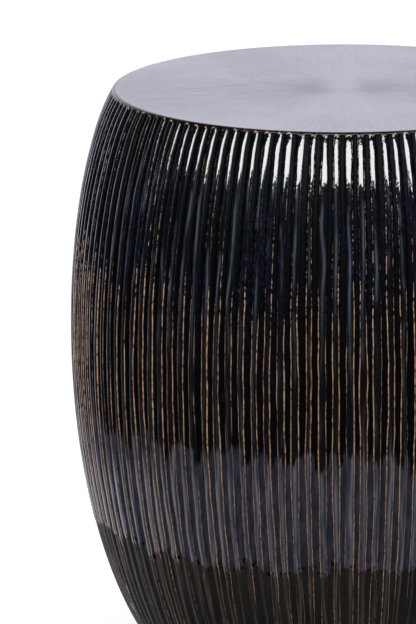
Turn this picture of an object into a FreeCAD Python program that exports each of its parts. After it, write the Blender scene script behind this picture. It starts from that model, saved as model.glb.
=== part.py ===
"""Ceramic garden stool: a hollow barrel with a combed, ribbed wall and a flat round seat.

The stool is clay parts that are luted together with slip and fired, and the floor pads stuck under it.
The wall is a barrel whose outside carries upright ribs, as a toothed rib tool leaves them.
The seat is a slab that lies on the wall's top, with a step that drops into the hollow.
The foot is a turned ring, open in the middle. A coil of clay strengthens each inner corner.

Millimetres, +Z up. The origin is on the floor, on the barrel's axis.
"""

import FreeCAD
import Part

import math
import os

# Overall form
overall_height = 450.0
belly_radius = 200.0  # widest ring, at the ribs' crests
belly_height = 270.0
shoulder_radius = 169.0  # where the ribs end under the seat's edge
shoulder_sweep_deg = 62.6  # how much of a quarter ellipse the wall follows above the belly
hip_radius = 142.0  # where the ribs end on the foot ring
hip_sweep_deg = 63.5  # how much of a quarter ellipse the wall follows below the belly

# Wall and its ribs
wall_thickness = 10.0
rib_count = 128
rib_depth = 1.3  # at the belly; the grooves get shallower as the barrel narrows

# Seat slab
seat_thickness = 12.0
seat_edge_height = 3.5  # visible edge that lies on the wall
seat_edge_rounding = 3.0
slip_gap = 0.3  # film of slip between the slab's step and the wall

# Foot ring
foot_ring_height = 29.0
foot_radius = 130.0
foot_band_height = 14.0  # upright band at the ring's lower edge
foot_face_width = 24.0
foot_edge_chamfer = 1.5

# Coils of clay in the inner corners
seat_coil_size = 12.0
foot_coil_size = 14.0
coil_edge = 2.0  # thickness left where a coil is smeared out on the wall

# Floor pads
pad_count = 4
pad_radius = 8.0
pad_thickness = 3.0

# Heights that follow
wall_bottom = pad_thickness + foot_ring_height
wall_top = overall_height - seat_edge_height
seat_underside = overall_height - seat_thickness

# How finely curves are divided
ROWS_ABOVE_BELLY = 6
ROWS_BELOW_BELLY = 7
SHORTEST_ROW = 0.5
HOLLOW_SIDES = 64
ROUNDING_STEPS = 2


class WallStretch:
    """One stretch of the wall's outline: part of an ellipse that leaves the belly upright."""

    def __init__(self, end_height, end_radius, sweep_deg):
        self.sweep = math.radians(sweep_deg)
        self.rise = (end_height - belly_height) / math.sin(self.sweep)
        self.inset = (belly_radius - end_radius) / (1.0 - math.cos(self.sweep))

    def ring(self, share):
        """Height and radius of the ring at this share of the sweep from the belly."""
        angle = self.sweep * share
        return belly_height + self.rise * math.sin(angle), belly_radius - self.inset * (1.0 - math.cos(angle))

    def inner_ring(self, share):
        """The same ring, moved inwards so that the wall keeps its thickness."""
        angle = self.sweep * share
        height, radius = self.ring(share)
        along = math.hypot(self.rise * math.cos(angle), self.inset * math.sin(angle))
        return height, radius - wall_thickness * along / abs(self.rise * math.cos(angle))


shoulder = WallStretch(wall_top, shoulder_radius, shoulder_sweep_deg)
hip = WallStretch(wall_bottom, hip_radius, hip_sweep_deg)


def rings(ring_below, ring_above):
    """(height, radius) rings from the wall's bottom to its top."""
    below = [ring_below(1.0 - row / ROWS_BELOW_BELLY) for row in range(ROWS_BELOW_BELLY)]
    above = [ring_above(row / ROWS_ABOVE_BELLY) for row in range(ROWS_ABOVE_BELLY + 1)]
    return below + above


outer_rings = rings(hip.ring, shoulder.ring)
inner_rings = rings(hip.inner_ring, shoulder.inner_ring)


def hollow_corner_radius(z):
    """Radius of the many-sided hollow's corners at this height."""
    for (low, low_radius), (high, high_radius) in zip(inner_rings, inner_rings[1:]):
        if z <= high:
            break
    return low_radius + (high_radius - low_radius) * (z - low) / (high - low)


def hollow_radius(z):
    """Radius of the largest round thing that fits in the hollow at this height."""
    return hollow_corner_radius(z) * math.cos(math.pi / HOLLOW_SIDES)


def point(radius, z, angle=0.0):
    return FreeCAD.Vector(radius * math.cos(angle), radius * math.sin(angle), z)


def ring_corners(radius, z, sides, groove_share=0.0):
    """Corners of a many-sided ring, where every second one is set in by a share of the radius."""
    corner_radii = (radius, radius * (1.0 - groove_share))
    return [point(corner_radii[side % 2], z, 2.0 * math.pi * side / sides) for side in range(sides)]


def closed(corners):
    return Part.makePolygon(corners + corners[:1])


def revolved(*outline):
    """Revolves a closed outline of (radius, height) corners."""
    face = Part.Face(closed([point(*corner) for corner in outline]))
    return face.revolve(FreeCAD.Vector(), FreeCAD.Vector(0.0, 0.0, 1.0), 360.0)


def rounding(radius, z, size):
    """Points of a rounded edge, from the side at this radius up to the top at this height."""
    turns = [math.pi / 2.0 * step / ROUNDING_STEPS for step in range(ROUNDING_STEPS + 1)]
    return [(radius - size * (1.0 - math.cos(turn)), z - size * (1.0 - math.sin(turn))) for turn in turns]


def hollow_rings(low, high):
    """Rings of the hollow's corners from one height up to another."""
    between = [z for z, radius in inner_rings[1:-1] if low + SHORTEST_ROW < z < high - SHORTEST_ROW]
    return [ring_corners(hollow_corner_radius(z), z, HOLLOW_SIDES) for z in (low, *between, high)]


def flat_strips(ring_list):
    """The flat faces between each ring of corners and the next one up."""
    faces = []
    for low, high in zip(ring_list, ring_list[1:]):
        for side in range(len(low)):
            faces.append(Part.Face(closed([low[side - 1], low[side], high[side], high[side - 1]])))
    return faces


def walled(outside, inside):
    """A solid between two skins of flat strips, joined by a flat ring at each end."""
    faces = flat_strips(outside) + flat_strips(inside)
    for end in (0, -1):
        faces += Part.makeFace([closed(outside[end]), closed(inside[end])], "Part::FaceMakerBullseye").Faces
    shell = Part.makeShell(faces)
    shell.sewShape()
    return Part.Solid(shell)


def drum_wall():
    """The barrel wall, with a groove between every two ribs of its outer skin."""
    groove_share = rib_depth / belly_radius
    ribs = [ring_corners(radius, z, 2 * rib_count, groove_share) for z, radius in outer_rings]
    return walled(ribs, hollow_rings(wall_bottom, wall_top))


def seat_slab():
    """The flat seat: its edge lies on the wall's top, and its step drops into the hollow."""
    step_radius = hollow_radius(wall_top) - slip_gap
    return revolved((0.0, seat_underside), (step_radius, seat_underside), (step_radius, wall_top),
                    (shoulder_radius, wall_top), *rounding(shoulder_radius, overall_height, seat_edge_rounding),
                    (0.0, overall_height))


def corner_coil(low, low_radius, high, high_radius):
    """A coil between two heights, from the wall in to a smoothed face with these radii."""
    face = [ring_corners(low_radius, low, HOLLOW_SIDES), ring_corners(high_radius, high, HOLLOW_SIDES)]
    return walled(hollow_rings(low, high), face)


def seat_coil():
    """Coil pressed into the corner between the seat's step and the wall."""
    low = seat_underside - seat_coil_size
    return corner_coil(low, hollow_radius(low) - coil_edge,
                       seat_underside, hollow_radius(seat_underside) - seat_coil_size)


def foot_coil():
    """Coil pressed into the corner between the foot ring and the wall."""
    high = wall_bottom + foot_coil_size
    return corner_coil(wall_bottom, hollow_radius(wall_bottom) - foot_coil_size,
                       high, hollow_radius(high) - coil_edge)


def foot_ring():
    """The turned foot: a flat ring whose side carries the barrel's curve in to an upright band."""
    underside = pad_thickness
    return revolved((foot_radius - foot_face_width, underside), (foot_radius - foot_edge_chamfer, underside),
                    (foot_radius, underside + foot_edge_chamfer), (foot_radius, underside + foot_band_height),
                    (hip_radius, wall_bottom), (foot_radius - foot_face_width, wall_bottom))


def floor_pad(index):
    """One round pad under the middle of the foot's flat face."""
    place = point(foot_radius - foot_face_width / 2.0, 0.0, 2.0 * math.pi * index / pad_count)
    return Part.makeCylinder(pad_radius, pad_thickness, place)


def stool_parts():
    """Every piece of the stool by name."""
    parts = {
        "seat_slab": seat_slab(),
        "drum_wall": drum_wall(),
        "seat_luting_coil": seat_coil(),
        "foot_luting_coil": foot_coil(),
        "foot_ring": foot_ring(),
    }
    for index in range(pad_count):
        parts[f"floor_pad_{index + 1}"] = floor_pad(index)
    return parts


os.makedirs("parts", exist_ok=True)
for name, shape in stool_parts().items():
    for solid in shape.Solids:
        print(f"{name}: valid {solid.isValid()}, volume {solid.Volume / 1000.0:.1f} cm3")
    shape.exportStep(f"parts/{name}.step")
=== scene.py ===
"""The ceramic garden stool in plain studio light: the combed and glazed barrel, its seat, foot and pads.

Metres, +Z up. Every piece stands where the frame's piece of the same place is.
"""

import math

import bpy
import numpy as np
from mathutils import Matrix, Vector


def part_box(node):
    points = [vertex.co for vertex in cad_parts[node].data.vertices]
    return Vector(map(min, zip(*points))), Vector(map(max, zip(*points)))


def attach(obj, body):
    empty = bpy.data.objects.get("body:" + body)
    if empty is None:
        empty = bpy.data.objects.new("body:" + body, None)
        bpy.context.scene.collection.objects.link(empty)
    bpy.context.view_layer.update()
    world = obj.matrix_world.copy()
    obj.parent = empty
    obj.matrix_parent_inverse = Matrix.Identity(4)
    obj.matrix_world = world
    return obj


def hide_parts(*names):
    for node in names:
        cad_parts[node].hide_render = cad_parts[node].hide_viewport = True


MM = 0.001

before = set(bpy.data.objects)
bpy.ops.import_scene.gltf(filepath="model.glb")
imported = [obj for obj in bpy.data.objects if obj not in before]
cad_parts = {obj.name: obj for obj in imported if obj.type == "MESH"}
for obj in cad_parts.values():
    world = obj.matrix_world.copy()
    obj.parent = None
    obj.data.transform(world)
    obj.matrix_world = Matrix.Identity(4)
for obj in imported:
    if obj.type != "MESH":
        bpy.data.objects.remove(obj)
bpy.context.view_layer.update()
rng = np.random.default_rng(21)

# The barrel's outline, as the frame's wall has it
belly_height = 270.0 * MM
shoulder_sweep = math.radians(62.6)
hip_sweep = math.radians(63.5)
wall_thickness = 10.0 * MM
wall_low, wall_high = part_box("drum_wall")
seat_low, seat_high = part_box("seat_slab")
foot_low, foot_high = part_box("foot_ring")
belly_radius = wall_high.x
shoulder_radius = seat_high.x
hip_radius = foot_high.x

# Combed ribs
rib_count = 128
groove_depth = 2.0 * MM
wobble = 0.105  # how far an edge strays, as a share of the ribs' pitch
# Half of a rib's cross-section, from the middle of a groove to the middle of the rib:
# share of the pitch, share of the depth, copper line
HALF_RIB = [
    (0.000, 1.00, 0.0),
    (0.014, 0.99, 0.0),
    (0.070, 0.96, 0.0),
    (0.140, 0.87, 0.0),
    (0.195, 0.68, 0.0),
    (0.225, 0.53, 0.4),
    (0.248, 0.43, 1.0),
    (0.280, 0.32, 0.9),
    (0.310, 0.23, 0.0),
    (0.370, 0.10, 0.0),
    (0.430, 0.02, 0.0),
    (0.500, 0.00, 0.0),
]

# Where the ribs end under the seat, each in a small arch, and the seat's rounded rim
arch_foot = 446.7 * MM
arch_foot_stray = 0.5 * MM
arch_rise = 1.9 * MM
arch_half_width = 0.245  # share of the pitch
rim_rounding = 3.0 * MM

# Bands of glaze on the wall, and how far their ends stray; the slate band's colour is partly a painted
# reflection of the pale table
copper_start = 338.0 * MM
copper_start_stray = 17.0 * MM
slate_top = 220.0 * MM
slate_top_stray = 9.0 * MM
glaze_end = 134.0 * MM
glaze_end_stray = 5.0 * MM  # from rib to rib
glaze_edge_stray = 2.0 * MM  # from one side of a rib to the other
glaze_fade = 4.0 * MM
glaze_thickness = 0.4 * MM
full_glaze = (400.0 * MM, 440.0 * MM)  # the wall thickens to its full radius between these heights
bead_rise = 2.4 * MM
bead_size = 2.0 * MM

# Inside of the wall
inner_rows = 12
throwing_ring = 0.35 * MM

# Seat, foot and coils
seat_lines = 300
comb_depth = 0.10 * MM
seat_centre = 4.0 * MM  # the combed lines start this far out
slip_gap = 0.3 * MM
foot_radius = 130.0 * MM
foot_face_width = 24.0 * MM
foot_band_height = 14.0 * MM
coil_edge = 2.0 * MM
finger_dent = 0.8 * MM

# Camera, as a real one at the photograph's distance
CAMERA_PLACE = Vector((0.0, -4.103, 1.255))
CAMERA_TARGET = Vector((0.0, 0.0, 0.214))
LENS_MM = 331.5
SENSOR_MM = 36.0
TURN_LEFT_DEG = 1.342  # the stool stands right of the middle of the picture
TURN_UP_DEG = 0.890  # and below it

LAMP_AIM = Vector((0.0, 0.0, 0.40))


# Meshes

def add_object(name, data):
    """A new object in the scene for this mesh, lamp or camera."""
    item = bpy.data.objects.new(name, data)
    bpy.context.scene.collection.objects.link(item)
    return item


def make_mesh(name, points, faces, marks=None, sharp_rows=(), columns=1):
    """A smooth mesh object from an array of points, quads or triangles, and named marks per point.
    Edges along the sharp rows keep a hard corner."""
    mesh = bpy.data.meshes.new(name)
    mesh.from_pydata(points.tolist(), [], faces)
    mesh.polygons.foreach_set("use_smooth", [True] * len(mesh.polygons))
    for mark, values in (marks or {}).items():
        layer = mesh.attributes.new(mark, "FLOAT", "POINT")
        layer.data.foreach_set("value", np.asarray(values, np.float32).ravel())
    if len(sharp_rows):
        ends = np.empty(2 * len(mesh.edges), np.int32)
        mesh.edges.foreach_get("vertices", ends)
        row = ends.reshape(-1, 2) // columns
        sharp = (row[:, 0] == row[:, 1]) & np.isin(row[:, 0], sharp_rows)
        mesh.edges.foreach_set("use_edge_sharp", sharp)
    mesh.update()
    return add_object(name, mesh)


def turns(columns):
    """Angles of evenly spread columns round the axis."""
    return np.arange(columns) * 2.0 * math.pi / columns


def skin(rows, columns, closed):
    """Quads between rows of points that run round the axis.
    A closed skin joins its last row to the first."""
    faces = []
    for row in range(rows if closed else rows - 1):
        low, high = row * columns, (row + 1) % rows * columns
        for column in range(columns):
            after = (column + 1) % columns
            faces.append((low + column, low + after, high + after, high + column))
    return faces


def turned(name, outline, columns, shape=None):
    """A turned solid from (radius, height) points. An outline that starts and ends on the axis is capped
    there, and any other is closed on itself. shape(radius, height, angle) may move the points."""
    radius, height = np.array(outline, float).T
    capped = radius[0] == 0.0
    if capped:
        radius, height = radius[1:-1], height[1:-1]
    angle = turns(columns)
    radius, height, angle = np.broadcast_arrays(radius[:, None], height[:, None], angle[None, :])
    if shape:
        radius, height = shape(radius, height, angle)
    points = np.stack([radius * np.cos(angle), radius * np.sin(angle), height], axis=-1).reshape(-1, 3)
    rows = len(radius)
    faces = skin(rows, columns, not capped)
    if capped:
        first, last = len(points), len(points) + 1
        points = np.vstack([points, [0.0, 0.0, outline[0][1]], [0.0, 0.0, outline[-1][1]]])
        top = (rows - 1) * columns
        for column in range(columns):
            after = (column + 1) % columns
            faces.append((first, after, column))
            faces.append((last, top + column, top + after))
    return make_mesh(name, points, faces)


def rounded(outline, size, steps=4):
    """A closed outline with each corner replaced by an arc of about this size."""
    result = []
    for index, corner in enumerate(outline):
        here = np.array(corner, float)
        before = np.array(outline[index - 1], float) - here
        after = np.array(outline[(index + 1) % len(outline)], float) - here
        reach = min(size, 0.45 * np.linalg.norm(before), 0.45 * np.linalg.norm(after))
        start = here + before / np.linalg.norm(before) * reach
        end = here + after / np.linalg.norm(after) * reach
        for step in range(steps + 1):
            t = step / steps
            result.append(tuple((1 - t) ** 2 * start + 2 * t * (1 - t) * here + t ** 2 * end))
    return result


def smooth_step(low, high, value):
    t = np.clip((value - low) / (high - low), 0.0, 1.0)
    return t * t * (3.0 - 2.0 * t)


def scatter(count):
    """Random numbers from -1 to 1."""
    return rng.uniform(-1.0, 1.0, count)


def wander(lines, along, step):
    """Smooth random numbers from -1 to 1 for each line, that change over this step along it."""
    place = (along - along[0]) / step
    index = place.astype(int)
    share = smooth_step(0.0, 1.0, place - index)[:, None]
    values = scatter((index[-1] + 2, lines))
    return values[index] * (1.0 - share) + values[index + 1] * share


# The barrel's form

def barrel(height):
    """Radius of the ribs' crests at this height, and how far the wall leans from upright."""
    upper = height >= belly_height
    end, end_radius, sweep = ((wall_high.z, shoulder_radius, shoulder_sweep) if upper
                              else (wall_low.z, hip_radius, hip_sweep))
    rise = abs(end - belly_height) / math.sin(sweep)
    inset = (belly_radius - end_radius) / (1.0 - math.cos(sweep))
    angle = math.asin(abs(height - belly_height) / rise)
    lean = math.atan2(inset * math.sin(angle), rise * math.cos(angle))
    return belly_radius - inset * (1.0 - math.cos(angle)), lean


def outer_radius(height):
    return barrel(height)[0]


def inner_radius(height):
    radius, lean = barrel(height)
    return radius - wall_thickness / math.cos(lean)


def rim_outline():
    """(radius, height) rows of the seat's rim: up the barrel's slope, then over a tight rounding."""
    slope = barrel(wall_high.z)[1]
    turn_height = seat_high.z - rim_rounding * (1.0 - math.sin(slope))
    turn_radius, lean = barrel(turn_height)
    rows = [(outer_radius(h), h) for h in np.linspace(wall_high.z, turn_height, 5)]
    for t in np.linspace(lean, math.pi / 2.0, 9)[1:]:
        share = (math.sin(t) - math.sin(lean)) / (1.0 - math.sin(lean))
        rows.append((turn_radius - rim_rounding * (math.cos(lean) - math.cos(t)),
                     turn_height + share * (seat_high.z - turn_height)))
    return rows


def wall_heights():
    """Rows of the wall, closer together at the glaze's end and where the ribs end."""
    stretches = [(wall_low.z, 122.0 * MM, 18), (122.0 * MM, 148.0 * MM, 18),
                 (148.0 * MM, 434.0 * MM, 64), (434.0 * MM, wall_high.z, 18)]
    rows = [np.linspace(low, high, count, endpoint=False) for low, high, count in stretches]
    return np.append(np.concatenate(rows), wall_high.z)


def below(line, up):
    """0 above a ragged line on the wall, rising to 1 at 10 mm below it."""
    return smooth_step(6.0 * MM, -10.0 * MM, up - line)


def copper_marks(height, share, edge, rib, side, bare):
    """How much copper shows on the ribs' edges and round their upper ends, and what lies above those."""
    up = height[:, None]
    edges = 2 * rib_count
    start = copper_start + copper_start_stray * scatter(edges)[side]
    strength = 0.72 + 0.28 * wander(edges, height, 22.0 * MM)[:, side]
    strength = strength * rng.uniform(0.38, 1.0, edges)[side] * (1.0 - 0.45 * bare)
    shown = 0.45 + 0.55 * below(start, up)
    across = np.clip((share - 0.5) / arch_half_width, -1.0, 1.0)
    foot_of_arch = arch_foot + arch_foot_stray * scatter(rib_count)[rib]
    arch = foot_of_arch + arch_rise * np.sqrt(1.0 - across ** 2)
    cap = np.exp(-((up - arch) / (0.55 * MM)) ** 2) * (np.abs(across) < 1.0)
    cap = cap * rng.uniform(0.3, 0.85, edges)[side]
    below_arch = smooth_step(0.3 * MM, -0.5 * MM, up - foot_of_arch)
    above_arch = smooth_step(-1.2 * MM, -0.3 * MM, up - arch)
    return np.maximum(edge * shown * strength * below_arch, cap), above_arch


def ribbed_skin(rows):
    """Points and marks of the combed outer skin on (radius, height) rows: an array [row, column, xyz]."""
    crest, height = np.array(rows).T
    half = np.array(HALF_RIB)
    mirrored = half[-2:0:-1] * [-1.0, 1.0, 1.0] + [1.0, 0.0, 0.0]
    share, depth, edge = np.vstack([half, mirrored]).T
    rib = np.repeat(np.arange(rib_count), len(share))
    share, depth, edge = (np.tile(values, rib_count) for values in (share, depth, edge))
    side = 2 * rib + (share > 0.5)
    groove = (rib + (share > 0.5)) % rib_count
    edges = 2 * rib_count

    # Uneven combing: each edge strays by itself, and each groove has its own depth
    stray = (0.5 * scatter(edges) + 0.7 * wander(edges, height, 60.0 * MM)
             + 0.35 * wander(edges, height, 13.0 * MM)) * wobble
    node = 2.0 * (rib + share) - 0.5
    low_node = np.floor(node).astype(int)
    blend = node - low_node
    stray = stray[:, low_node % edges] * (1.0 - blend) + stray[:, (low_node + 1) % edges] * blend
    angle = (rib + share + stray) * 2.0 * math.pi / rib_count
    deep = 0.9 + 0.1 * wander(rib_count, height, 35.0 * MM)[:, groove]
    closing = smooth_step(seat_high.z - 0.8 * MM, arch_foot, height)[:, None]
    set_in = depth * (1.0 + (deep - 1.0) * depth) * closing * crest[:, None] / belly_radius

    # The glaze ends low on the wall in a ragged line of beads
    up = height[:, None]
    end = (glaze_end + glaze_end_stray * scatter(rib_count)[rib]
           + glaze_edge_stray * scatter(edges)[side])
    bead = np.exp(-((up - end - bead_rise) / bead_size) ** 2) * rng.uniform(0.2, 1.0, edges)[side]
    bare = smooth_step(glaze_fade, -glaze_fade, up - end)
    radius = crest[:, None] - groove_depth * set_in
    radius = radius - glaze_thickness * (bare + 1.0) + glaze_thickness * bead
    radius = radius + glaze_thickness * smooth_step(*full_glaze, up)
    points = np.stack(np.broadcast_arrays(radius * np.cos(angle), radius * np.sin(angle), up), axis=-1)

    copper, above_arch = copper_marks(height, share, edge, rib, side, bare)
    # A painted reflection runs along the middle of each rib's crest
    middle = 0.5 + 0.12 * wander(rib_count, height, 30.0 * MM)[:, rib]
    crest_sheen = np.exp(-((share - middle) / 0.075) ** 2)
    crest_sheen = crest_sheen * (0.6 + 0.4 * wander(rib_count, height, 18.0 * MM)[:, rib])
    slate_start = slate_top + slate_top_stray * scatter(edges)[side]
    marks = {
        "copper": copper,
        "slate": below(slate_start, up) * (1.0 - bare),
        "bare": bare,
        "bead": bead,
        "groove": np.maximum(smooth_step(0.25, 0.52, depth) * closing, 0.6 * above_arch),
        "crest_sheen": crest_sheen,
        "inside": np.zeros_like(radius),
    }
    return points, marks


def ring_rows(rows, columns):
    """Plain rows round the axis, to close a ribbed skin with."""
    angle = turns(columns)
    return np.array([[(r * c, r * s, h) for c, s in zip(np.cos(angle), np.sin(angle))] for r, h in rows])


def slice_marks(marks, rows):
    return {mark: values[rows] for mark, values in marks.items()}


def closed_skin(name, points, marks, hidden, hidden_mark):
    """A closed piece from a ribbed outer skin and the plain rows behind it."""
    columns = points.shape[1]
    marks = {mark: np.vstack([values, np.full(hidden.shape[:2], hidden_mark * (mark == "inside"))])
             for mark, values in marks.items()}
    rows = len(points) + len(hidden)
    corners = [0, len(points) - 1, len(points), rows - 1]
    everything = np.concatenate([points, hidden]).reshape(-1, 3)
    return make_mesh(name, everything, skin(rows, columns, True), marks, corners, columns)


def ribbed_wall_and_rim():
    """The barrel wall and the seat's rim, which the same combing runs over."""
    heights = wall_heights()
    rim = rim_outline()
    points, marks = ribbed_skin([(outer_radius(h), h) for h in heights] + rim[1:])
    top = len(heights)
    columns = points.shape[1]

    # Inside the wall, from the top down, are faint rings from throwing
    down = np.linspace(wall_high.z, wall_low.z, inner_rows)
    share = (down - wall_low.z) / (wall_high.z - wall_low.z)
    ripple = throwing_ring * np.sin(np.arange(inner_rows) * 2.4) * np.sin(share * math.pi)
    inner = ring_rows([(inner_radius(h) + r, h) for h, r in zip(down, ripple)], columns)
    lower, upper = slice(None, top), slice(top - 1, None)
    wall = closed_skin("ribbed_wall", points[lower], slice_marks(marks, lower), inner, 1.0)
    behind = ring_rows([(rim[-1][0], wall_high.z)], columns)
    edge = closed_skin("seat_rim", points[upper], slice_marks(marks, upper), behind, 0.0)
    return wall, edge


def seat():
    """The seat inside its rim, combed in fine lines from the centre, and its step in the wall's top."""
    columns = 3 * seat_lines
    rim_radius = rim_outline()[-1][0]
    step_radius = inner_radius(wall_high.z) - slip_gap
    underside = [(0.0, seat_low.z), (6.0 * MM, seat_low.z), (step_radius - 1.0 * MM, seat_low.z),
                 (step_radius, seat_low.z + 1.0 * MM), (step_radius, wall_high.z),
                 (rim_radius, wall_high.z)]
    flat = [(rim_radius, seat_high.z)]
    flat += [(r, seat_high.z) for r in np.linspace(rim_radius - 0.1 * MM, seat_centre, 46)]
    waves = wander(seat_lines, np.arange(len(flat)) * 1.0, 5.0)

    def combed(radius, height, angle):
        top = height > seat_high.z - 0.1 * MM
        row = np.clip(np.cumsum(top, axis=0) - 1, 0, len(flat) - 1)
        line = np.arange(columns) // 3
        ridge = np.arange(columns) % 3 == 1
        cut = comb_depth * (0.6 + 0.4 * waves[row, line]) * ridge
        fade = (smooth_step(rim_radius, 0.97 * rim_radius, radius)
                * smooth_step(seat_centre, 30.0 * MM, radius))
        return radius, height - cut * fade * top

    return turned("seat", underside + flat + [(0.0, seat_high.z)], columns, combed)


def foot():
    """The turned foot with soft corners."""
    hole_radius = foot_radius - foot_face_width
    outline = [(hole_radius, foot_low.z), (foot_radius, foot_low.z),
               (foot_radius, foot_low.z + foot_band_height), (hip_radius, foot_high.z),
               (hole_radius, foot_high.z)]
    return turned("turned_foot", rounded(outline, 1.6 * MM), 288)


def coil(name, node, thick_above):
    """A coil of clay in an inner corner, with the dents of the fingers that pressed it in."""
    low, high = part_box(node)
    size = high.z - low.z
    width_low, width_high = (coil_edge, size) if thick_above else (size, coil_edge)
    wall = inner_radius(low.z), inner_radius(high.z)
    outline = [(wall[0] - width_low, low.z), (wall[0], low.z),
               (wall[1], high.z), (wall[1] - width_high, high.z)]

    def pressed(radius, height, angle):
        inward = smooth_step(1.0 * MM, 5.0 * MM, np.interp(height, [low.z, high.z], wall) - radius)
        return radius + finger_dent * np.sin(angle * 46.0 + 1.3 * np.sin(angle * 7.0)) * inward, height

    return turned(name, rounded(outline, 3.0 * MM), 384, pressed)


def floor_pad(node):
    """A stick-on bumper: a low disc with a rounded lower edge."""
    low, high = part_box(node)
    radius, thickness = (high.x - low.x) / 2.0, high.z - low.z
    corner, top_corner = 0.9 * MM, 0.2 * MM
    outline = [(0.0, 0.0), (radius * 0.5, 0.0)]
    outline += [(radius - corner * (1.0 - math.sin(t)), corner * (1.0 - math.cos(t)))
                for t in np.linspace(0.0, math.pi / 2.0, 6)]
    outline += [(radius, thickness - top_corner), (radius - top_corner, thickness), (0.0, thickness)]
    pad = turned(node.replace("floor_pad", "bumper"), outline, 48)
    pad.data.transform(Matrix.Translation(((low.x + high.x) / 2.0, (low.y + high.y) / 2.0, low.z)))
    return pad


# Materials

GLAZE_BLACK = (0.0012, 0.0015, 0.0024)
GLAZE_NAVY = (0.0045, 0.0090, 0.035)
# Painted reflection along the ribs' crests on the blue-black glaze
GLAZE_CREST_SHEEN = (0.088, 0.108, 0.148)
# Slate band: a rougher glaze band whose colour is partly a painted reflection of the pale table, with a
# painted reflection on the crests
SLATE_SHEEN_DARK, SLATE_SHEEN_PALE = (0.015, 0.016, 0.025), (0.030, 0.031, 0.045)
SLATE_CREST_SHEEN = (0.130, 0.136, 0.172)
BEAD_DARK = (0.0017, 0.0017, 0.0022)
BODY_DARK, BODY_PALE = (0.0034, 0.0028, 0.0022), (0.012, 0.0095, 0.0073)
BODY_CREST_SHEEN = (0.086, 0.063, 0.047)
COPPER_DARK, COPPER_PALE = (0.146, 0.059, 0.024), (0.532, 0.314, 0.168)
COPPER_DULL = (0.190, 0.101, 0.062)
CLAY_DARK, CLAY_PALE = (0.112, 0.076, 0.050), (0.162, 0.115, 0.081)
FOOT_DARK, FOOT_PALE = (0.011, 0.0084, 0.0062), (0.028, 0.021, 0.016)
SEAT_DARK, SEAT_PALE = (0.168, 0.163, 0.202), (0.216, 0.210, 0.256)
SEAT_CLOUD = (0.170, 0.165, 0.206)
RUBBER_DARK, RUBBER_PALE = (0.010, 0.010, 0.011), (0.031, 0.030, 0.028)


class Nodes:
    """A node tree, and short ways to add to it."""

    def __init__(self, tree):
        self.tree = tree

    def node(self, kind, **inputs):
        """A new shader node with its inputs set or linked by name."""
        node = self.tree.nodes.new("ShaderNode" + kind)
        for name, value in inputs.items():
            self.put(node.inputs[name.replace("_", " ")], value)
        return node

    def put(self, socket, value):
        """Sets or links an input, given as a number, a colour or another node's output."""
        if isinstance(value, bpy.types.NodeSocket):
            self.tree.links.new(value, socket)
        elif socket.type == "RGBA":
            socket.default_value = (*value, 1.0)
        else:
            socket.default_value = value

    def ramp(self, value, low, high, to_low=0.0, to_high=1.0):
        """A smooth change from one number to another while a value goes from low to high."""
        node = self.node("MapRange", Value=value, From_Min=low, From_Max=high,
                         To_Min=to_low, To_Max=to_high)
        node.interpolation_type = "SMOOTHSTEP"
        return node.outputs["Result"]

    def math(self, operation, *values):
        node = self.node("Math")
        node.operation = operation
        for socket, value in zip(node.inputs, values):
            self.put(socket, value)
        return node.outputs["Value"]

    def vector_math(self, operation, *values):
        node = self.node("VectorMath")
        node.operation = operation
        for socket, value in zip(node.inputs, values):
            self.put(socket, value)
        return node.outputs["Value" if operation == "LENGTH" else "Vector"]

    def times(self, *values):
        result = values[0]
        for value in values[1:]:
            result = self.math("MULTIPLY", result, value)
        return result

    def mix(self, share, first, second):
        """A blend of two colours, or of two numbers."""
        colours = any(isinstance(v, tuple) or getattr(v, "type", "") == "RGBA" for v in (first, second))
        node = self.node("Mix")
        node.data_type = "RGBA" if colours else "FLOAT"
        kind = "RGBA" if colours else "VALUE"
        ends = [socket for socket in node.inputs if socket.type == kind and socket.name in ("A", "B")]
        self.put(node.inputs["Factor"], share)
        self.put(ends[0], first)
        self.put(ends[1], second)
        return next(socket for socket in node.outputs if socket.type == kind)

    def joined(self, kind, first, second, **inputs):
        """A shader that adds or mixes two others."""
        node = self.node(kind, **inputs)
        for socket, shader in zip(list(node.inputs)[-2:], (first, second)):
            self.put(socket, shader.outputs[0])
        return node


class Finish(Nodes):
    """A material and the nodes that feed its Principled shader."""

    def __init__(self, name, **settings):
        self.material = bpy.data.materials.new(name)
        self.material.use_nodes = True
        super().__init__(self.material.node_tree)
        self.shader = self.tree.nodes["Principled BSDF"]
        for socket, value in settings.items():
            self.shader.inputs[socket.replace("_", " ")].default_value = value
        self.place = self.node("TexCoord").outputs["Object"]

    def feed(self, name, value):
        self.put(self.shader.inputs[name], value)

    def mark(self, name):
        node = self.node("Attribute")
        node.attribute_name = name
        return node.outputs["Fac"]

    def noise(self, scale, detail=2.0, stretch=(1.0, 1.0, 1.0), roughness=0.55, place=None):
        where = self.node("Mapping", Vector=place or self.place, Scale=stretch).outputs["Vector"]
        node = self.node("TexNoise", Vector=where, Scale=scale, Detail=detail, Roughness=roughness)
        return node.outputs["Fac"]

    def bump(self, value, distance, strength=1.0):
        node = self.node("Bump", Height=value, Distance=distance, Strength=strength)
        self.feed("Normal", node.outputs["Normal"])


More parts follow.
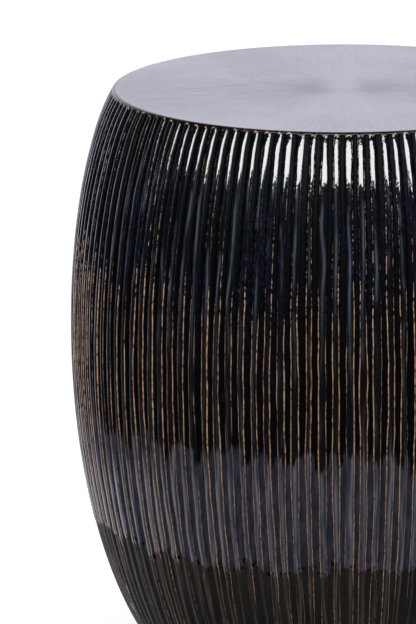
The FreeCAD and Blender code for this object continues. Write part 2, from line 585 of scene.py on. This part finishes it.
def wall_finish():
    """Blue-black glaze that breaks to copper on the ribs' edges, a slate band, and bare clay below.
    Painted reflections run along the ribs' crests, and the slate band's colour is partly a painted
    reflection of the pale table.
    """
    finish = Finish("wall_glaze", IOR=2.0)
    up = finish.node("SeparateXYZ", Vector=finish.place).outputs["Z"]
    upper = finish.ramp(up, 0.30, 0.35)
    marks = ("copper", "slate", "bare", "groove", "crest_sheen", "bead", "inside")
    copper, slate, bare, groove, crest_sheen, bead, inside = (finish.mark(name) for name in marks)

    # Glaze, with painted reflections along the ribs' crests and in the slate band
    clouds = finish.noise(26.0, 3.0, (1.0, 1.0, 0.35))
    fine = finish.noise(420.0, 3.0, (1.0, 1.0, 0.12))
    patches = finish.noise(60.0, 4.0, (1.0, 1.0, 0.16), 0.65)
    spots = finish.noise(520.0, 2.0, (1.0, 1.0, 0.5))
    navy = finish.times(finish.ramp(clouds, 0.40, 0.64), finish.ramp(spots, 0.50, 0.66),
                        finish.mix(upper, 0.3, 0.7))
    colour = finish.mix(navy, GLAZE_BLACK, GLAZE_NAVY)
    # Painted reflection: pale streaks along the ribs' crests, strongest on the upper wall
    crest_sheen_share = finish.times(crest_sheen, finish.ramp(patches, 0.42, 0.58), finish.mix(upper, 0.40, 1.0),
                        finish.ramp(up, 0.430, 0.408))
    colour = finish.mix(crest_sheen_share, colour, GLAZE_CREST_SHEEN)
    # Slate band: its colour is partly a painted reflection of the pale table round the stool, with ragged
    # ends
    torn = finish.math("ADD", slate, finish.ramp(patches, 0.30, 0.70, -0.42, 0.42))
    slate_sheen_share = finish.times(finish.ramp(torn, 0.15, 0.75), finish.ramp(slate, 0.0, 0.1))
    slate_sheen_colour = finish.mix(finish.ramp(fine, 0.40, 0.66), SLATE_SHEEN_DARK, SLATE_SHEEN_PALE)
    slate_sheen_colour = finish.mix(crest_sheen, slate_sheen_colour, SLATE_CREST_SHEEN)
    colour = finish.mix(slate_sheen_share, colour, slate_sheen_colour)
    dark_bead = finish.times(finish.ramp(bead, 0.25, 0.6), finish.ramp(patches, 0.44, 0.50))
    colour = finish.mix(dark_bead, colour, BEAD_DARK)

    # Body below the glaze
    grit = finish.noise(900.0, 4.0)
    body = finish.mix(finish.ramp(patches, 0.32, 0.68), BODY_DARK, BODY_PALE)
    # Painted highlight along the ribs' crests on the bare body
    body = finish.mix(finish.times(crest_sheen, 0.9), body, BODY_CREST_SHEEN)
    drips = finish.ramp(finish.noise(75.0, 2.0, (1.0, 1.0, 0.5)), 0.70, 0.73)
    rag = finish.noise(170.0, 3.0, (1.0, 1.0, 0.6))
    ragged = finish.math("ADD", bare, finish.ramp(rag, 0.2, 0.8, -0.5, 0.5))
    bare_share = finish.times(finish.ramp(ragged, 0.42, 0.58), finish.mix(drips, 1.0, 0.1))
    colour = finish.mix(bare_share, colour, body)

    # Copper on the edges, in beads and broken lines
    beads = finish.noise(480.0, 3.0, (1.0, 1.0, 0.55), 0.7)
    broken = finish.mix(upper, finish.ramp(beads, 0.30, 0.46, 0.45, 1.0),
                        finish.ramp(beads, 0.42, 0.58, 0.1, 1.0))
    line = finish.ramp(finish.times(copper, broken), 0.16, 0.42)
    copper_colour = finish.mix(finish.ramp(beads, 0.38, 0.60), COPPER_DARK, COPPER_PALE)
    low_on_wall = finish.math("MAXIMUM", slate, bare)
    copper_colour = finish.mix(finish.times(low_on_wall, 0.5), copper_colour, COPPER_DULL)
    colour = finish.mix(line, colour, copper_colour)

    # Bare clay inside
    clay = finish.mix(finish.ramp(patches, 0.3, 0.7), CLAY_DARK, CLAY_PALE)
    colour = finish.mix(inside, colour, clay)
    finish.feed("Base Color", colour)

    roughness = finish.mix(slate, 0.06, 0.16)
    roughness = finish.mix(groove, roughness, 0.42)
    roughness = finish.mix(line, roughness, 0.36)
    roughness = finish.mix(bare_share, roughness, 0.50)
    roughness = finish.mix(inside, roughness, 0.85)
    finish.feed("Roughness", roughness)
    # The grooves hardly reflect, which keeps them dark
    shine = finish.mix(bare_share, finish.mix(groove, 0.5, 0.015), 0.14)
    finish.feed("Specular IOR Level", shine)

    ripple = finish.noise(170.0, 3.0, (1.0, 1.0, 0.16), 0.6)
    relief = finish.mix(bare_share, ripple, grit)
    finish.bump(finish.math("ADD", relief, finish.times(line, 0.45)), 0.30 * MM)
    return finish.material


def seat_finish():
    """Lilac-grey glaze with faint combed lines that fan out from the centre."""
    finish = Finish("seat_glaze")
    axes = finish.node("SeparateXYZ", Vector=finish.place).outputs
    flat_place = finish.node("CombineXYZ", X=axes["X"], Y=axes["Y"]).outputs["Vector"]
    outward = finish.vector_math("LENGTH", flat_place)
    lift = finish.node("CombineXYZ", Z=finish.times(outward, 0.28)).outputs["Vector"]
    fan = finish.vector_math("ADD", finish.vector_math("NORMALIZE", flat_place), lift)
    lines = finish.noise(110.0, 4.0, roughness=0.65, place=fan)
    lines = finish.mix(finish.ramp(outward, 0.01, 0.09), 0.5, lines)
    cloud = finish.noise(9.0, 4.0)
    colour = finish.mix(finish.ramp(lines, 0.36, 0.62), SEAT_DARK, SEAT_PALE)
    colour = finish.mix(finish.ramp(cloud, 0.42, 0.72, 0.0, 0.35), colour, SEAT_CLOUD)
    finish.feed("Base Color", colour)
    finish.feed("Roughness", finish.ramp(cloud, 0.3, 0.7, 0.17, 0.25))
    finish.bump(finish.math("ADD", lines, finish.times(finish.noise(230.0, 3.0), 0.4)), 0.30 * MM, 0.6)
    return finish.material


def clay_finish(name, dark, pale, roughness=0.85):
    """Unglazed stoneware: a mottled body with grit and fine turning lines."""
    finish = Finish(name)
    mottle = finish.noise(45.0, 5.0)
    lines = finish.noise(60.0, 2.0, (0.15, 0.15, 9.0))
    specks = finish.ramp(finish.noise(700.0, 1.0), 0.66, 0.70)
    colour = finish.mix(finish.ramp(mottle, 0.3, 0.7), dark, pale)
    colour = finish.mix(finish.times(specks, 0.7), colour, tuple(0.3 * c for c in dark))
    finish.feed("Base Color", colour)
    finish.feed("Roughness", finish.ramp(mottle, 0.2, 0.8, roughness - 0.08, roughness + 0.06))
    finish.bump(finish.math("ADD", finish.noise(1100.0, 3.0), lines), 0.25 * MM, 0.7)
    return finish.material


def rubber_finish():
    finish = Finish("pad_rubber")
    dust = finish.noise(300.0, 4.0)
    colour = finish.mix(finish.ramp(dust, 0.4, 0.75), RUBBER_DARK, RUBBER_PALE)
    finish.feed("Base Color", colour)
    finish.feed("Roughness", finish.ramp(dust, 0.3, 0.7, 0.55, 0.8))
    finish.bump(finish.noise(1500.0, 2.0), 0.05 * MM, 0.6)
    return finish.material


# Studio

def floor_material():
    """A pale floor that keeps shadows. The glaze reflects only a small table round the stool.
    It is dim in front and bright towards the backdrop, and past its edge the room is reflected."""
    finish = Finish("studio_floor", Roughness=0.9)
    finish.feed("Base Color", (0.78, 0.78, 0.78))
    ray = finish.node("LightPath").outputs
    depth = finish.node("SeparateXYZ", Vector=finish.place).outputs["Y"]
    across = finish.vector_math("LENGTH", finish.place)
    bright = finish.ramp(finish.math("DIVIDE", depth, across), -0.75, 0.6, 0.13, 1.3)
    table = finish.ramp(across, 0.66, 0.54)
    glow = finish.node("Emission", Strength=finish.times(ray["Is Camera Ray"], 0.46))
    seen = finish.joined("AddShader", finish.shader, glow)
    top = finish.node("Emission", Strength=bright, Color=(0.92, 0.93, 1.04))
    room = finish.node("BsdfTransparent")
    reflected = finish.joined("MixShader", room, top, Fac=table)
    total = finish.joined("MixShader", seen, reflected, Fac=ray["Is Glossy Ray"])
    finish.put(finish.tree.nodes["Material Output"].inputs["Surface"], total.outputs[0])
    return finish.material


def studio_world():
    """White for the camera and plain light for surfaces. Reflections see a white backdrop behind the
    stool that falls off to a dim room in front of it."""
    world = bpy.data.worlds.new("studio")
    bpy.context.scene.world = world
    world.use_nodes = True
    world.node_tree.nodes.clear()
    nodes = Nodes(world.node_tree)
    ray = nodes.node("LightPath").outputs
    way = nodes.node("SeparateXYZ", Vector=nodes.node("TexCoord").outputs["Generated"]).outputs
    behind = nodes.ramp(way["Y"], 0.50, 0.92)
    backdrop = nodes.times(behind, nodes.ramp(way["Z"], 0.20, 0.06, 1.12, 1.45),
                           nodes.ramp(way["Z"], -0.62, -0.30))
    strength = nodes.mix(ray["Is Glossy Ray"], 0.75, nodes.math("ADD", backdrop, 0.03))
    strength = nodes.mix(ray["Is Camera Ray"], strength, 1.0)
    tint = nodes.mix(ray["Is Glossy Ray"], (1.0, 1.0, 1.0), (0.96, 0.95, 1.08))
    background = nodes.node("Background", Strength=strength, Color=tint)
    nodes.node("OutputWorld", Surface=background.outputs[0])


def softbox(name, azimuth, elevation, distance, size, strength):
    """A rectangular lamp round the stool. Azimuth 0 is the camera's side and 90 is on the right."""
    lamp = bpy.data.lights.new(name, "AREA")
    lamp.shape = "RECTANGLE"
    lamp.size, lamp.size_y = size
    lamp.energy = strength * math.pi * size[0] * size[1]
    turn, rise = math.radians(azimuth), math.radians(elevation)
    way = Vector((math.sin(turn) * math.cos(rise), -math.cos(turn) * math.cos(rise), math.sin(rise)))
    light = add_object(name, lamp)
    light.location = LAMP_AIM + way * distance
    light.rotation_euler = way.to_track_quat("Z", "Y").to_euler()
    light.visible_camera = False
    return light


def studio():
    studio_world()
    bank = softbox("highlight_bank", 0.0, 31.5, 2.6, (3.9, 1.0), 7.5)
    bank.visible_diffuse = False
    key = softbox("key_light", -20.0, 42.0, 3.0, (1.8, 1.2), 4.3)
    key.visible_glossy = False
    bpy.ops.mesh.primitive_plane_add(size=14.0)
    floor = bpy.context.object
    floor.name = "floor"
    floor.data.materials.append(floor_material())
    bpy.context.scene.view_settings.view_transform = "Standard"


def camera():
    eye = bpy.data.cameras.new("camera")
    eye.lens = LENS_MM
    eye.sensor_width = SENSOR_MM
    eye.clip_end = 60.0
    holder = add_object("camera", eye)
    look = (CAMERA_TARGET - CAMERA_PLACE).to_track_quat("-Z", "Y").to_matrix().to_4x4()
    turn = (Matrix.Rotation(math.radians(TURN_LEFT_DEG), 4, "Y")
            @ Matrix.Rotation(math.radians(TURN_UP_DEG), 4, "X"))
    holder.matrix_world = Matrix.Translation(CAMERA_PLACE) @ look @ turn
    bpy.context.scene.camera = holder


# The stool

def place(piece, material, slot, node):
    """Gives a piece its finish and its body, and lets it stand for its node."""
    piece.data.materials.append(material)
    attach(piece, "root")
    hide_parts(node)


def stool():
    inner_clay = clay_finish("inner_clay", CLAY_DARK, CLAY_PALE)
    foot_clay = clay_finish("foot_clay", FOOT_DARK, FOOT_PALE, 0.62)
    glaze, rubber = wall_finish(), rubber_finish()
    wall, rim = ribbed_wall_and_rim()
    place(wall, glaze, "wall_glaze", "drum_wall")
    place(rim, glaze, "wall_glaze", "seat_slab")
    place(seat(), seat_finish(), "seat_glaze", "seat_slab")
    place(foot(), foot_clay, "foot_clay", "foot_ring")
    place(coil("upper_coil", "seat_luting_coil", True), inner_clay, "bare_clay", "seat_luting_coil")
    place(coil("lower_coil", "foot_luting_coil", False), inner_clay, "bare_clay", "foot_luting_coil")
    for node in sorted(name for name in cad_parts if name.startswith("floor_pad")):
        place(floor_pad(node), rubber, "pad_rubber", node)


stool()
studio()
camera()
